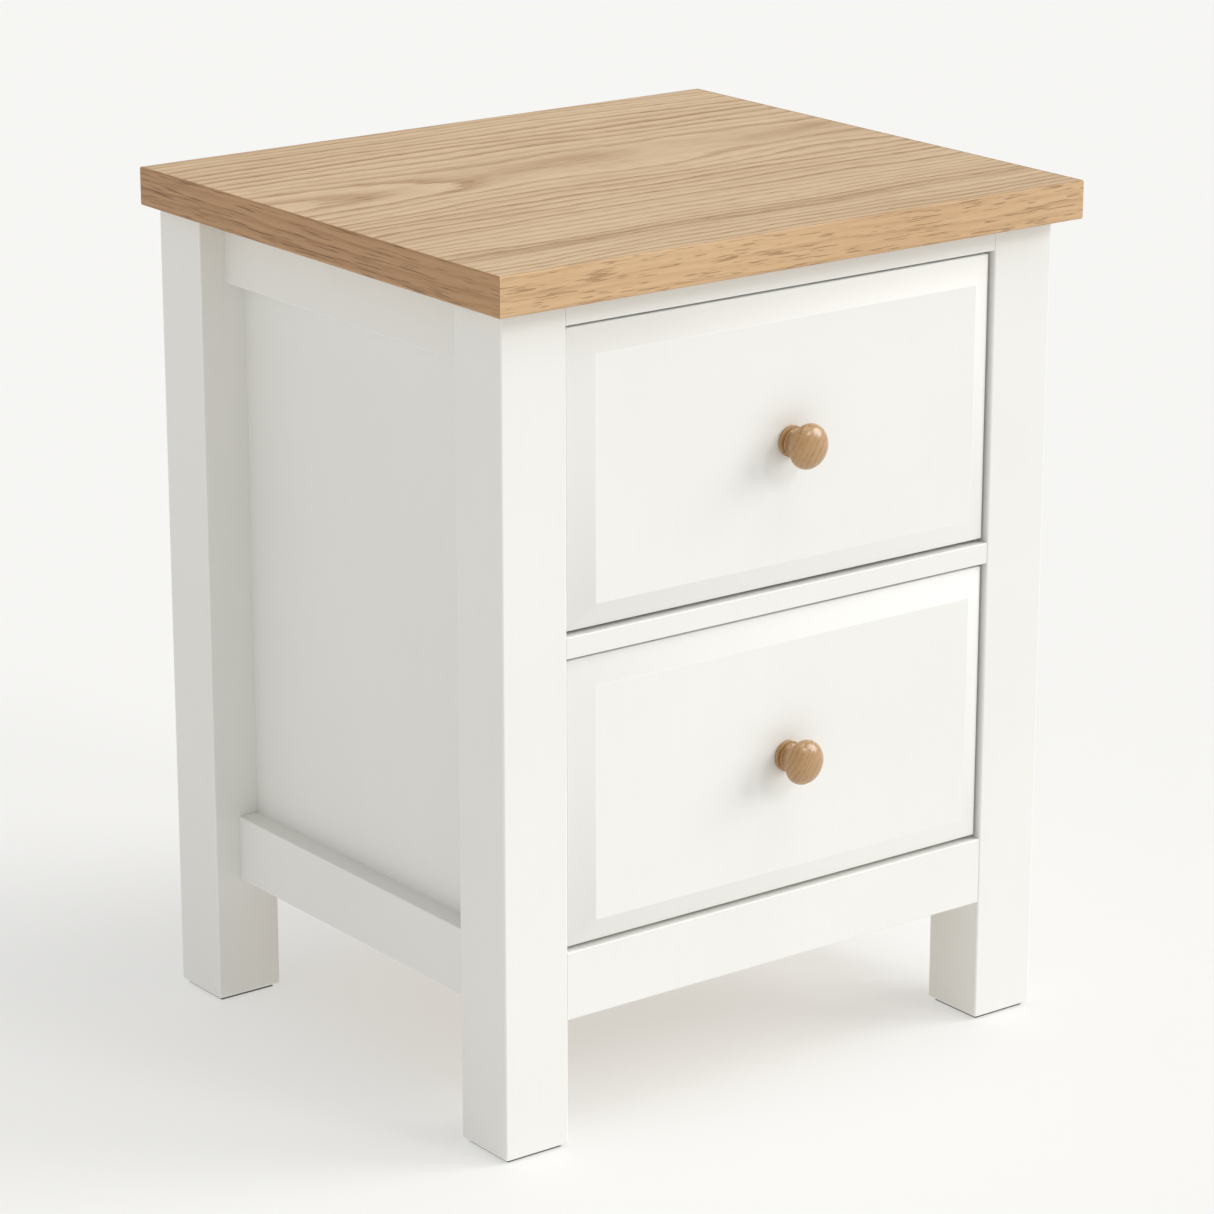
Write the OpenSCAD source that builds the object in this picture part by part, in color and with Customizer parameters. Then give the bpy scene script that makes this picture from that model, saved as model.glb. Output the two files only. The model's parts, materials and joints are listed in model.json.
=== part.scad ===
// Bedside cabinet: painted frame-and-panel carcass, oak top, two inset drawers on ball-bearing slides.
// +X is right, -Y is the front, +Z is up. The origin is on the floor, under the middle of the
// whole object's plan, knobs included.

/* [Overall] */
// Width of the top, side to side
top_w = 460; // [380:1:600]
// Depth of the top, front to back
top_d = 400; // [330:1:500]
// Height from the floor to the face of the top
overall_h = 570; // [470:1:700]

/* [Top] */
// Thickness of the top
top_t = 25; // [18:0.5:40]
// Thickness of the solid oak lipping round the top's edges
lipping_t = 1.5; // [1:0.5:6]
// How far the top stands out past the legs at each side
top_side_overhang = 12; // [0:1:25]
// How far the top stands out past the legs at the front
top_front_overhang = 16; // [0:1:25]
// How far the top stands out past the legs at the back
top_back_overhang = 3; // [0:1:20]

/* [Legs and feet] */
// Side of the square legs
leg_s = 48; // [40:0.5:60]
// Thickness of the pad under each leg
pad_t = 2; // [1:0.5:5]
// How far each pad lies in from the leg's faces
pad_inset = 3; // [1:0.5:8]

/* [Rails] */
// Height of the bottom rails' underside above the floor
low_rail_z = 85; // [60:1:130]
// Height of the bottom rails' faces
low_rail_h = 45; // [38:1:60]
// Height of the top rails at the sides and back
top_rail_h = 47; // [38:1:60]
// Height of the rail over the upper drawer
front_top_rail_h = 16; // [12:0.5:30]
// Height of the rail between the drawers
middle_rail_h = 14; // [12:0.5:25]
// Depth of the two thin front rails, front to back
thin_rail_d = 36; // [34:1:38]
// Thickness of the front bottom rail and of the back rails
thick_rail_t = 24; // [20:1:26]
// How far the front rails lie behind the legs' front faces
front_rail_recess = 0.5; // [0:0.1:2]
// How far the side rails lie in from the legs' outer faces
side_rail_recess = 19; // [8:0.5:23]
// How far the back rails lie in from the legs' back faces
back_rail_recess = 4; // [0:0.5:6]
// How far the side rails stop short of the legs' inner faces
side_rail_inner_gap = 3; // [1:0.5:5]
// Length of every tenon
tenon_l = 14; // [8:0.5:16]
// Thickness of the tenons on the thick rails
tenon_t = 10; // [6:0.5:12]
// Width of the tenons on the thin front rails
thin_tenon_w = 18; // [12:1:18]
// Shoulder above and below the tenons on the thick rails
thick_shoulder = 10; // [9:0.5:12]
// Shoulder above and below the tenons on the thin front rails
thin_shoulder = 3; // [2:0.5:4]

/* [Panels] */
// Thickness of the side and back panels
panel_t = 6; // [4:0.5:8]
// How far the back panel lies in from the back rails' outer faces
back_panel_in = 4; // [3:0.5:6]
// Depth of the grooves that hold the panels
groove_d = 8; // [4:0.5:8.5]
// Thickness of the battens between the side panels and the slides
batten_t = 8; // [6:0.5:10]
// Height of the battens
batten_h = 50; // [46:1:60]

/* [Drawers] */
// How much higher the upper drawer's opening is than the lower one
opening_difference = 3; // [-40:1:40]
// Gap at each side of a drawer front
front_side_gap = 2; // [1.5:0.5:5]
// Gap over a drawer front
front_top_gap = 2; // [1.5:0.5:5]
// Gap under a drawer front
front_bottom_gap = 2.5; // [1.5:0.5:6]
// How far a drawer front's edges lie behind the legs' front faces
front_recess = 4; // [0:0.5:6]
// Thickness of a drawer front at its edges
front_edge_t = 14; // [12:0.5:20]
// Width of the bevel round a drawer front
bevel_w = 17; // [8:0.5:30]
// How far the raised field stands out from the front's edges
bevel_rise = 8; // [2:0.5:10]
// Thickness of the drawer boxes' sides, inner fronts and backs
box_t = 12; // [10:0.5:16]
// Gap under a drawer box
box_bottom_gap = 13; // [6:1:20]
// Gap over a drawer box
box_top_gap = 22; // [6:1:30]
// Gap between a closed drawer box and the back rails
box_back_gap = 6; // [3:1:20]
// Thickness of the drawer bottoms
bottom_t = 5; // [3:0.5:7]
// Height of a drawer bottom above the lower edge of its box
bottom_up = 10; // [8:0.5:16]
// Depth of the grooves that hold the drawer bottoms
bottom_groove_d = 6; // [3:0.5:8]
// Wanted height of one dovetail and one pin together
dovetail_pitch = 40; // [25:1:60]
// How much a dovetail widens at each side towards its end
dovetail_flare = 2; // [1:0.25:3]

/* [Slides] */
// Space that a slide takes between the leg and the drawer box
slide_w = 12.7; // [12.7:0.1:16]
// Height of the outer member
slide_h = 45; // [44:1:46]
// Thickness of the slides' steel
steel_t = 1.2; // [1:0.1:1.4]
// Diameter of the bearing balls, which sets the space between two members' flanges
ball_d = 3; // [2.5:0.5:4]
// How far the slides start behind the drawer front
slide_setback = 2; // [1:0.5:5]

/* [Knobs] */
// Diameter of a knob's head
knob_d = 29.5; // [24:0.5:40]
// Length of a knob
knob_l = 25; // [20:0.5:36]
// Diameter of a knob's foot
knob_foot_d = 20.5; // [16:0.5:24]

/* [Fasteners] */
// Diameter of every screw's shank
screw_d = 4; // [3:0.5:4.5]
// Space round a shank in its hole
screw_clear = 0.05; // [0.02:0.01:0.1]
// Length of the slide screws
slide_screw_l = 9; // [7:0.5:9]
// Length of the screws that hold the drawer fronts
front_screw_l = 24; // [18:1:26]
// Length of the screws that hold the top
top_screw_l = 30; // [22:1:32]
// Wood between the heads of the top's screws and the top
top_screw_grip = 13; // [10:0.5:14]

/* [Hidden] */
$fn = 48;

LEFT = -1;
RIGHT = 1;
FRONT = -1;
BACK = 1;
LOWER = 0;
UPPER = 1;

oak_color = [0.82, 0.70, 0.54];
paint_color = [0.93, 0.93, 0.90];
pine_color = [0.87, 0.78, 0.62];
steel_color = [0.72, 0.73, 0.75];
felt_color = [0.30, 0.28, 0.26];

// How far a cut runs past the face that it starts from
over = 1;

// Plan: places along Y, from the front to the back
knob_past_top = max(0, bevel_rise - front_recess + knob_l - top_front_overhang);
back_y = (top_d + knob_past_top) / 2;
top_front_y = back_y - top_d;
leg_front_y = top_front_y + top_front_overhang;
leg_back_y = back_y - top_back_overhang;
front_face_y = leg_front_y + front_recess;
field_y = front_face_y - bevel_rise;
box_front_y = front_face_y + front_edge_t;
back_rail_out_y = leg_back_y - back_rail_recess;
back_rail_in_y = back_rail_out_y - thick_rail_t;
back_panel_y = back_rail_out_y - back_panel_in - panel_t;
box_back_y = back_rail_in_y - box_back_gap;
box_l = box_back_y - box_front_y;

// Plan: places along X, from the middle to the right
leg_outer_x = top_w / 2 - top_side_overhang;
opening_w = 2 * (leg_outer_x - leg_s);
panel_in_x = opening_w / 2 + batten_t;
side_rail_in_x = opening_w / 2 + side_rail_inner_gap;
side_rail_out_x = leg_outer_x - side_rail_recess;
box_w = opening_w - 2 * slide_w;
front_w = opening_w - 2 * front_side_gap;

// Heights
top_under_z = overall_h - top_t;
low_rail_top_z = low_rail_z + low_rail_h;
front_top_rail_z = top_under_z - front_top_rail_h;
openings_h = front_top_rail_z - low_rail_top_z - middle_rail_h;
middle_rail_z = low_rail_top_z + (openings_h - opening_difference) / 2;
top_rail_z = top_under_z - top_rail_h;

// Bottom and top of each drawer's opening, the lower drawer first
opening_z = [
    [low_rail_top_z, middle_rail_z],
    [middle_rail_z + middle_rail_h, front_top_rail_z],
];

function front_z(level) =
    [opening_z[level][0] + front_bottom_gap, opening_z[level][1] - front_top_gap];
function box_z(level) =
    [opening_z[level][0] + box_bottom_gap, opening_z[level][1] - box_top_gap];
function middle(span) = (span[0] + span[1]) / 2;

// Slides: the three members nest, and a row of balls runs between each pair of flanges.
// Places across a slide are measured from the leg's inner face towards the drawer.
slide_step = 50;
slide_l = slide_step * floor((box_l - slide_setback) / slide_step);
slide_y = box_front_y + slide_setback;
middle_end_gap = 3;
outer_half_h = slide_h / 2;
middle_half_h = outer_half_h - steel_t - ball_d;
inner_half_h = middle_half_h - steel_t - ball_d;
outer_tip = slide_w - 2.2;
middle_web = steel_t + 1.6;
middle_tip = outer_tip - 0.3;
inner_tip = middle_web + steel_t + 1;
slide_head_h = 1.3;
slide_head_d = 8;
outer_screw_y = [for (share = [0.06, 0.5, 0.9]) slide_y + share * slide_l];
inner_screw_y = [for (share = [0.12, 0.55, 0.94]) slide_y + share * slide_l];

// Other fasteners
head_d = 8;
head_h = 2.4;
front_screw_x = box_w / 2 - 45;
front_screw_edge = 28;
top_screw_x = opening_w / 2 - 70;
counterbore_d = 9;
knob_screw_depth = 12;
knob_screw_l = box_t + front_edge_t + bevel_rise + knob_screw_depth;

module mirrored(side) {
    mirror([side < 0 ? 1 : 0, 0, 0]) children();
}

// A box between two corners
module block(low, high) {
    translate(low) cube(high - low);
}

// A profile in the YZ plane, swept along X about the middle
module sweep_x(length) {
    translate([-length / 2, 0, 0]) rotate([90, 0, 90]) linear_extrude(height = length) children();
}

// ---- Top ----

// One of the four lippings, as seen from above; its ends are mitred at 45 degrees
module lipping(length) {
    linear_extrude(height = top_t)
        polygon([
            [-length / 2, 0],
            [length / 2, 0],
            [length / 2 - lipping_t, lipping_t],
            [-length / 2 + lipping_t, lipping_t],
        ]);
}

module edge_lipping(turn, length, out) {
    color(oak_color)
        translate([0, (top_front_y + back_y) / 2, top_under_z])
            rotate([0, 0, turn])
                translate([0, -out, 0])
                    lipping(length);
}

module top_board() {
    color(oak_color) difference() {
        block(
            [-top_w / 2 + lipping_t, top_front_y + lipping_t, top_under_z],
            [top_w / 2 - lipping_t, back_y - lipping_t, overall_h]
        );
        at_top_screws() shank(top_screw_l, screw_clear);
    }
}

// ---- Fasteners ----

// A shank along -Z from the underside of its head, with a pointed end
module shank(length, clear = 0) {
    radius = screw_d / 2 + clear;
    translate([0, 0, -length + screw_d / 2 - clear]) cylinder(r = radius, h = length - screw_d / 2 + clear);
    translate([0, 0, -length - clear]) cylinder(r1 = screw_d / 8, r2 = radius, h = screw_d / 2);
}

module screw(length, head_diameter = head_d, head_height = head_h) {
    shank(length);
    cylinder(r1 = head_diameter / 2, r2 = head_diameter / 2 - head_height / 3, h = head_height);
}

// Places of the screws that hold the top, with the heads below and the points up
module at_top_screws() {
    front_y = leg_front_y + front_rail_recess + thin_rail_d / 2;
    for (x = [-top_screw_x, 0, top_screw_x], y = [front_y, middle([back_rail_in_y, back_panel_y])])
        translate([x, y, top_under_z - top_screw_grip]) rotate([180, 0, 0]) children();
}

// Holes for the top's screws, with a counterbore from below up to the heads
module top_screw_holes() {
    at_top_screws() {
        shank(top_screw_l, screw_clear);
        cylinder(d = counterbore_d, h = top_rail_h);
    }
}

// Places of one outer member's screws, pointing out of the cabinet
module at_outer_screws(side, level) {
    mirrored(side)
        for (y = outer_screw_y)
            translate([opening_w / 2 - steel_t, y, middle(box_z(level))])
                rotate([0, -90, 0])
                    children();
}

// Places of one inner member's screws, pointing into the drawer
module at_inner_screws(side, level) {
    mirrored(side)
        for (y = inner_screw_y)
            translate([box_w / 2 + steel_t, y, middle(box_z(level))])
                rotate([0, 90, 0])
                    children();
}

// Places of the screws through one inner front, with the heads inside the drawer
module at_front_screws(level) {
    low_z = box_z(level)[0] + bottom_up + bottom_t + front_screw_edge;
    high_z = box_z(level)[1] - front_screw_edge;
    for (x = [-front_screw_x, front_screw_x], z = [low_z, high_z])
        translate([x, box_front_y + box_t, z]) rotate([-90, 0, 0]) children();
}

module at_knob_screw(level) {
    translate([0, box_front_y + box_t, middle(front_z(level))]) rotate([-90, 0, 0]) children();
}

module top_screws() {
    color(steel_color) at_top_screws() screw(top_screw_l);
}

module outer_slide_screws() {
    color(steel_color)
        for (side = [LEFT, RIGHT], level = [LOWER, UPPER])
            at_outer_screws(side, level) screw(slide_screw_l, slide_head_d, slide_head_h);
}

module slide_screws(level) {
    color(steel_color)
        for (side = [LEFT, RIGHT])
            at_inner_screws(side, level) screw(slide_screw_l, slide_head_d, slide_head_h);
}

module front_screws(level) {
    color(steel_color) at_front_screws(level) screw(front_screw_l);
}

module knob_screw(level) {
    color(steel_color) at_knob_screw(level) screw(knob_screw_l);
}

// ---- Rails ----

// A rail along X with a tenon at each end; its box is given between the legs
module rail_x(y, z, depth, height, tenon_y, tenon_depth, shoulder) {
    reach = opening_w / 2;
    block([-reach, y, z], [reach, y + depth, z + height]);
    block(
        [-reach - tenon_l, tenon_y, z + shoulder],
        [reach + tenon_l, tenon_y + tenon_depth, z + height - shoulder]
    );
}

module thin_rail(z, height) {
    y = leg_front_y + front_rail_recess;
    rail_x(y, z, thin_rail_d, height, y + (thick_rail_t - tenon_t) / 2, thin_tenon_w, thin_shoulder);
}

module thick_rail(y, z, height) {
    rail_x(y, z, thick_rail_t, height, y + (thick_rail_t - tenon_t) / 2, tenon_t, thick_shoulder);
}

// A side rail along Y with a tenon at each end, on the right
module side_rail(z, height) {
    low_y = leg_front_y + leg_s;
    high_y = leg_back_y - leg_s;
    tenon_x = (side_rail_in_x + side_rail_out_x - tenon_t) / 2;
    block([side_rail_in_x, low_y, z], [side_rail_out_x, high_y, z + height]);
    block(
        [tenon_x, low_y - tenon_l, z + thick_shoulder],
        [tenon_x + tenon_t, high_y + tenon_l, z + height - thick_shoulder]
    );
}

module front_top_rail() {
    color(paint_color) difference() {
        thin_rail(front_top_rail_z, front_top_rail_h);
        top_screw_holes();
    }
}

module front_middle_rail() {
    color(paint_color) thin_rail(middle_rail_z, middle_rail_h);
}

module front_bottom_rail() {
    color(paint_color) thick_rail(leg_front_y + front_rail_recess, low_rail_z, low_rail_h);
}

module back_top_rail() {
    color(paint_color) difference() {
        thick_rail(back_rail_in_y, top_rail_z, top_rail_h);
        back_panel();
        top_screw_holes();
    }
}

module back_bottom_rail() {
    color(paint_color) difference() {
        thick_rail(back_rail_in_y, low_rail_z, low_rail_h);
        back_panel();
    }
}

module side_top_rail(side) {
    color(paint_color) difference() {
        mirrored(side) side_rail(top_rail_z, top_rail_h);
        side_panel(side);
    }
}

module side_bottom_rail(side) {
    color(paint_color) difference() {
        mirrored(side) side_rail(low_rail_z, low_rail_h);
        side_panel(side);
    }
}

// ---- Panels and battens ----

module side_panel(side) {
    color(paint_color) mirrored(side) difference() {
        block(
            [panel_in_x, leg_front_y + leg_s - groove_d, low_rail_top_z - groove_d],
            [panel_in_x + panel_t, leg_back_y - leg_s + groove_d, top_rail_z + groove_d]
        );
        for (level = [LOWER, UPPER])
            at_outer_screws(RIGHT, level) shank(slide_screw_l, screw_clear);
    }
}

module back_panel() {
    color(paint_color)
        block(
            [-opening_w / 2 - groove_d, back_panel_y, low_rail_top_z - groove_d],
            [opening_w / 2 + groove_d, back_panel_y + panel_t, top_rail_z + groove_d]
        );
}

module batten(side, level) {
    z = middle(box_z(level));
    color(pine_color) mirrored(side) difference() {
        block(
            [opening_w / 2, leg_front_y + leg_s, z - batten_h / 2],
            [panel_in_x, leg_back_y - leg_s, z + batten_h / 2]
        );
        at_outer_screws(RIGHT, level) shank(slide_screw_l, screw_clear);
    }
}

// ---- Legs and feet ----

// Everything that is let into a leg
module let_into_legs(side, end) {
    if (end == FRONT) {
        thin_rail(front_top_rail_z, front_top_rail_h);
        thin_rail(middle_rail_z, middle_rail_h);
        thick_rail(leg_front_y + front_rail_recess, low_rail_z, low_rail_h);
    } else {
        for (rail = [[low_rail_z, low_rail_h], [top_rail_z, top_rail_h]])
            thick_rail(back_rail_in_y, rail[0], rail[1]);
        back_panel();
    }
    mirrored(side) {
        side_rail(low_rail_z, low_rail_h);
        side_rail(top_rail_z, top_rail_h);
    }
    side_panel(side);
    for (level = [LOWER, UPPER])
        at_outer_screws(side, level) shank(slide_screw_l, screw_clear);
}

function leg_y(end) = end == FRONT ? leg_front_y : leg_back_y - leg_s;

module leg(side, end) {
    color(paint_color) difference() {
        mirrored(side)
            block([opening_w / 2, leg_y(end), pad_t], [leg_outer_x, leg_y(end) + leg_s, top_under_z]);
        let_into_legs(side, end);
    }
}

module foot_pads() {
    pad_s = leg_s - 2 * pad_inset;
    color(felt_color)
        for (side = [LEFT, RIGHT], end = [FRONT, BACK])
            mirrored(side)
                translate([opening_w / 2 + pad_inset, leg_y(end) + pad_inset, 0])
                    cube([pad_s, pad_s, pad_t]);
}

// ---- Slides ----

// A C-shaped member, drawn across the slide and swept along the drawer's travel
module channel(side, level, web, tip, half_h, y, length) {
    way = web < tip ? 1 : -1;
    inner = web + way * steel_t;
    flange = half_h - steel_t;
    mirrored(side)
        translate([opening_w / 2, y, middle(box_z(level))])
            rotate([90, 0, 180])
                linear_extrude(height = length)
                    polygon([
                        [web, -half_h], [tip, -half_h], [tip, -flange], [inner, -flange],
                        [inner, flange], [tip, flange], [tip, half_h], [web, half_h],
                    ]);
}

module outer_slide(side, level) {
    color(steel_color) difference() {
        channel(side, level, 0, outer_tip, outer_half_h, slide_y, slide_l);
        at_outer_screws(side, level) shank(slide_screw_l, screw_clear);
    }
}

module middle_slide(side, level) {
    color(steel_color)
        channel(
            side, level, middle_web, middle_tip, middle_half_h,
            slide_y + middle_end_gap, slide_l - 2 * middle_end_gap
        );
}

module inner_slide(side, level) {
    color(steel_color) difference() {
        channel(side, level, slide_w, inner_tip, inner_half_h, slide_y, slide_l);
        at_inner_screws(side, level) shank(slide_screw_l, screw_clear);
    }
}

// ---- Drawers ----

// The bevelled front: one outline seen from above and one from the side, and what they share
module drawer_front(level) {
    low = front_z(level)[0];
    high = front_z(level)[1];
    color(paint_color) difference() {
        intersection() {
            translate([0, 0, low])
                linear_extrude(height = high - low)
                    polygon([
                        [-front_w / 2, box_front_y], [-front_w / 2, front_face_y],
                        [-front_w / 2 + bevel_w, field_y], [front_w / 2 - bevel_w, field_y],
                        [front_w / 2, front_face_y], [front_w / 2, box_front_y],
                    ]);
            sweep_x(front_w)
                polygon([
                    [box_front_y, low], [box_front_y, high], [front_face_y, high],
                    [field_y, high - bevel_w], [field_y, low + bevel_w], [front_face_y, low],
                ]);
        }
        at_front_screws(level) shank(front_screw_l, screw_clear);
        at_knob_screw(level) shank(knob_screw_l, screw_clear);
    }
}

// The dovetails at one end of the drawer sides, through the whole width of the box
module dovetails(level, end) {
    z = box_z(level);
    count = max(2, round((z[1] - z[0]) / dovetail_pitch));
    pitch = (z[1] - z[0]) / count;
    half_root = pitch / 4;
    half_end = half_root + dovetail_flare;
    root_y = end == FRONT ? box_front_y + box_t : box_back_y - box_t;
    end_y = end == FRONT ? box_front_y : box_back_y;
    for (i = [0 : count - 1]) {
        tail_z = z[0] + (i + 0.5) * pitch;
        sweep_x(box_w)
            polygon([
                [root_y, tail_z - half_root], [root_y, tail_z + half_root],
                [end_y, tail_z + half_end], [end_y, tail_z - half_end],
            ]);
    }
}

module drawer_bottom(level) {
    half_w = box_w / 2 - box_t + bottom_groove_d;
    z = box_z(level)[0] + bottom_up;
    color(pine_color)
        block(
            [-half_w, box_front_y + box_t - bottom_groove_d, z],
            [half_w, box_back_y - box_t + bottom_groove_d, z + bottom_t]
        );
}

module drawer_side(side, level) {
    z = box_z(level);
    inner_x = box_w / 2 - box_t;
    color(pine_color) difference() {
        union() {
            mirrored(side)
                block([inner_x, box_front_y + box_t, z[0]], [box_w / 2, box_back_y - box_t, z[1]]);
            intersection() {
                union() {
                    dovetails(level, FRONT);
                    dovetails(level, BACK);
                }
                mirrored(side) block([inner_x, box_front_y, z[0]], [box_w / 2, box_back_y, z[1]]);
            }
        }
        drawer_bottom(level);
        at_inner_screws(side, level) shank(slide_screw_l, screw_clear);
    }
}

// The inner front or the back of a drawer box, socketed for the dovetails
module drawer_end(level, end) {
    z = box_z(level);
    y = end == FRONT ? box_front_y : box_back_y - box_t;
    inner_x = box_w / 2 - box_t;
    color(pine_color) difference() {
        block([-box_w / 2, y, z[0]], [box_w / 2, y + box_t, z[1]]);
        difference() {
            dovetails(level, end);
            block([-inner_x, y - over, z[0] - over], [inner_x, y + box_t + over, z[1] + over]);
        }
        drawer_bottom(level);
        if (end == FRONT) {
            at_front_screws(level) shank(front_screw_l, screw_clear);
            at_knob_screw(level) shank(knob_screw_l, screw_clear);
        }
    }
}

// A turned knob as half its outline: foot, groove, bead, neck and domed head
module knob(level) {
    foot_r = knob_foot_d / 2;
    head_r = knob_d / 2;
    foot_h = 3;
    ease = 0.8;
    bead_r = foot_r - 1.4;
    bead_z = foot_h + 2;
    neck_r = foot_r - 3.8;
    dome_h = knob_l * 0.32;
    back_h = knob_l * 0.2;
    head_z = knob_l - dome_h;
    color(oak_color) difference() {
        translate([0, field_y, middle(front_z(level))]) rotate([90, 0, 0])
            rotate_extrude() polygon(concat(
                [[0, 0], [foot_r - ease / 2, 0], [foot_r, ease], [foot_r, foot_h - ease]],
                [[foot_r - ease / 2, foot_h], [bead_r - 0.8, foot_h + 0.6]],
                [for (a = [-60 : 30 : 60]) [bead_r - 0.8 + 0.8 * cos(a), bead_z + 0.9 * sin(a)]],
                [for (t = [0.25 : 0.25 : 0.75])
                    [neck_r + (bead_r - 1.2 - neck_r) * pow(1 - t, 2),
                     bead_z + 1.2 + (head_z - back_h - bead_z - 1.2) * t]],
                [for (a = [-60 : 10 : 0]) [head_r * cos(a), head_z + back_h * sin(a)]],
                [for (a = [10 : 10 : 90]) [head_r * cos(a), head_z + dome_h * sin(a)]]
            ));
        at_knob_screw(level) shank(knob_screw_l, screw_clear);
    }
}

top_board();
edge_lipping(0, top_w, top_d / 2);  // front_lipping
edge_lipping(90, top_d, top_w / 2);  // right_lipping
edge_lipping(180, top_w, top_d / 2);  // back_lipping
edge_lipping(270, top_d, top_w / 2);  // left_lipping
leg(LEFT, FRONT);  // front_left_leg
leg(RIGHT, FRONT);  // front_right_leg
leg(LEFT, BACK);  // back_left_leg
leg(RIGHT, BACK);  // back_right_leg
foot_pads();
front_top_rail();
front_middle_rail();
front_bottom_rail();
side_top_rail(LEFT);  // left_top_rail
side_top_rail(RIGHT);  // right_top_rail
side_bottom_rail(LEFT);  // left_bottom_rail
side_bottom_rail(RIGHT);  // right_bottom_rail
back_top_rail();
back_bottom_rail();
side_panel(LEFT);  // left_panel
side_panel(RIGHT);  // right_panel
back_panel();
batten(LEFT, UPPER);  // upper_left_batten
batten(RIGHT, UPPER);  // upper_right_batten
batten(LEFT, LOWER);  // lower_left_batten
batten(RIGHT, LOWER);  // lower_right_batten
outer_slide(LEFT, UPPER);  // upper_left_outer_slide
outer_slide(RIGHT, UPPER);  // upper_right_outer_slide
outer_slide(LEFT, LOWER);  // lower_left_outer_slide
outer_slide(RIGHT, LOWER);  // lower_right_outer_slide
middle_slide(LEFT, UPPER);  // upper_left_middle_slide
middle_slide(RIGHT, UPPER);  // upper_right_middle_slide
middle_slide(LEFT, LOWER);  // lower_left_middle_slide
middle_slide(RIGHT, LOWER);  // lower_right_middle_slide
inner_slide(LEFT, UPPER);  // upper_left_inner_slide
inner_slide(RIGHT, UPPER);  // upper_right_inner_slide
inner_slide(LEFT, LOWER);  // lower_left_inner_slide
inner_slide(RIGHT, LOWER);  // lower_right_inner_slide
top_screws();
outer_slide_screws();
drawer_front(UPPER);  // upper_drawer_front
drawer_end(UPPER, FRONT);  // upper_drawer_inner_front
drawer_side(LEFT, UPPER);  // upper_drawer_left_side
drawer_side(RIGHT, UPPER);  // upper_drawer_right_side
drawer_end(UPPER, BACK);  // upper_drawer_back
drawer_bottom(UPPER);  // upper_drawer_bottom
knob(UPPER);  // upper_knob
knob_screw(UPPER);  // upper_knob_screw
front_screws(UPPER);  // upper_front_screws
slide_screws(UPPER);  // upper_slide_screws
drawer_front(LOWER);  // lower_drawer_front
drawer_end(LOWER, FRONT);  // lower_drawer_inner_front
drawer_side(LEFT, LOWER);  // lower_drawer_left_side
drawer_side(RIGHT, LOWER);  // lower_drawer_right_side
drawer_end(LOWER, BACK);  // lower_drawer_back
drawer_bottom(LOWER);  // lower_drawer_bottom
knob(LOWER);  // lower_knob
knob_screw(LOWER);  // lower_knob_screw
front_screws(LOWER);  // lower_front_screws
slide_screws(LOWER);  // lower_slide_screws
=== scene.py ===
# %% [markdown]
# # A bedside cabinet in painted wood and oak
# The real piece is a small cabinet on four square legs: a painted frame with thin panels, two
# inset drawers with bevelled fronts and turned knobs, and an oak top. Its sizes and joints are
# settled in the CAD model, which is loaded here as a fixed frame. Everything below adds what a
# frame can't hold: eased edges, turned knobs, real screws, bearing balls and the finishes.

# %% Load the frame
import json
import math

import bmesh
import bpy
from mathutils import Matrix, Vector


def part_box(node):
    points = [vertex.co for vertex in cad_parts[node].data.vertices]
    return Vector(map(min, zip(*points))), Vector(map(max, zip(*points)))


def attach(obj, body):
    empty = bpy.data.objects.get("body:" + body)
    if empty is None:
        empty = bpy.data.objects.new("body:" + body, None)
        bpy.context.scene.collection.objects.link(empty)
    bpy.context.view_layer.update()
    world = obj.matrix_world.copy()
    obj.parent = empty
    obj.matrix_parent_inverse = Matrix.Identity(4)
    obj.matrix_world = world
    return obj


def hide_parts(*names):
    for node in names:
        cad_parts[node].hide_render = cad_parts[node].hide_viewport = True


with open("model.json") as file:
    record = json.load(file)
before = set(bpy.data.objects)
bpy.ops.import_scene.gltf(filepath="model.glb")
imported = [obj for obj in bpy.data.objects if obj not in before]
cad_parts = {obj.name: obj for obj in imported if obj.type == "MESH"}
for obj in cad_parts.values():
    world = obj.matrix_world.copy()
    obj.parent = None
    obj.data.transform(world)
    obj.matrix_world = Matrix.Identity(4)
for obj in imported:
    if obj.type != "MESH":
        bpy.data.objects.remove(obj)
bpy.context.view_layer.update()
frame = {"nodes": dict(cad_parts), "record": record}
nodes = frame["nodes"]
body_of = {n: b for b, members in frame["record"]["behaviour"]["bodies"].items() for n in members}

# %% [markdown]
# ## The camera
# A product picture of furniture is taken from some way off with a long lens, so that upright
# lines stay nearly parallel. The camera is placed on a sphere round a point in the middle of the
# cabinet: an angle round it, an angle above the floor and a distance say where it stands, and
# the lens says how much it takes in.

# %% Place the camera
scene = bpy.context.scene
LOOK_AT = Vector((-0.0012, 0.0065, 0.2778))
CAMERA_ROUND = math.radians(-37)
CAMERA_ABOVE = math.radians(17.235)
CAMERA_AWAY = 2.916
LENS_MM = 130.3


def from_middle(turn, rise, distance):
    """A point at an angle round the cabinet and an angle above it, that far from its middle."""
    out = Vector((math.sin(turn) * math.cos(rise), -math.cos(turn) * math.cos(rise), math.sin(rise)))
    return LOOK_AT + distance * out


def aimed(thing, place):
    """Puts a camera or light there, looking at the middle of the cabinet."""
    thing.location = place
    thing.rotation_euler = (LOOK_AT - place).to_track_quat("-Z", "Y").to_euler()
    scene.collection.objects.link(thing)
    return thing


lens = bpy.data.cameras.new("studio_camera")
lens.lens = LENS_MM
lens.clip_end = 60
scene.camera = aimed(
    bpy.data.objects.new("studio_camera", lens), from_middle(CAMERA_ROUND, CAMERA_ABOVE, CAMERA_AWAY)
)
print("camera at", [round(c, 3) for c in scene.camera.location])

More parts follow.
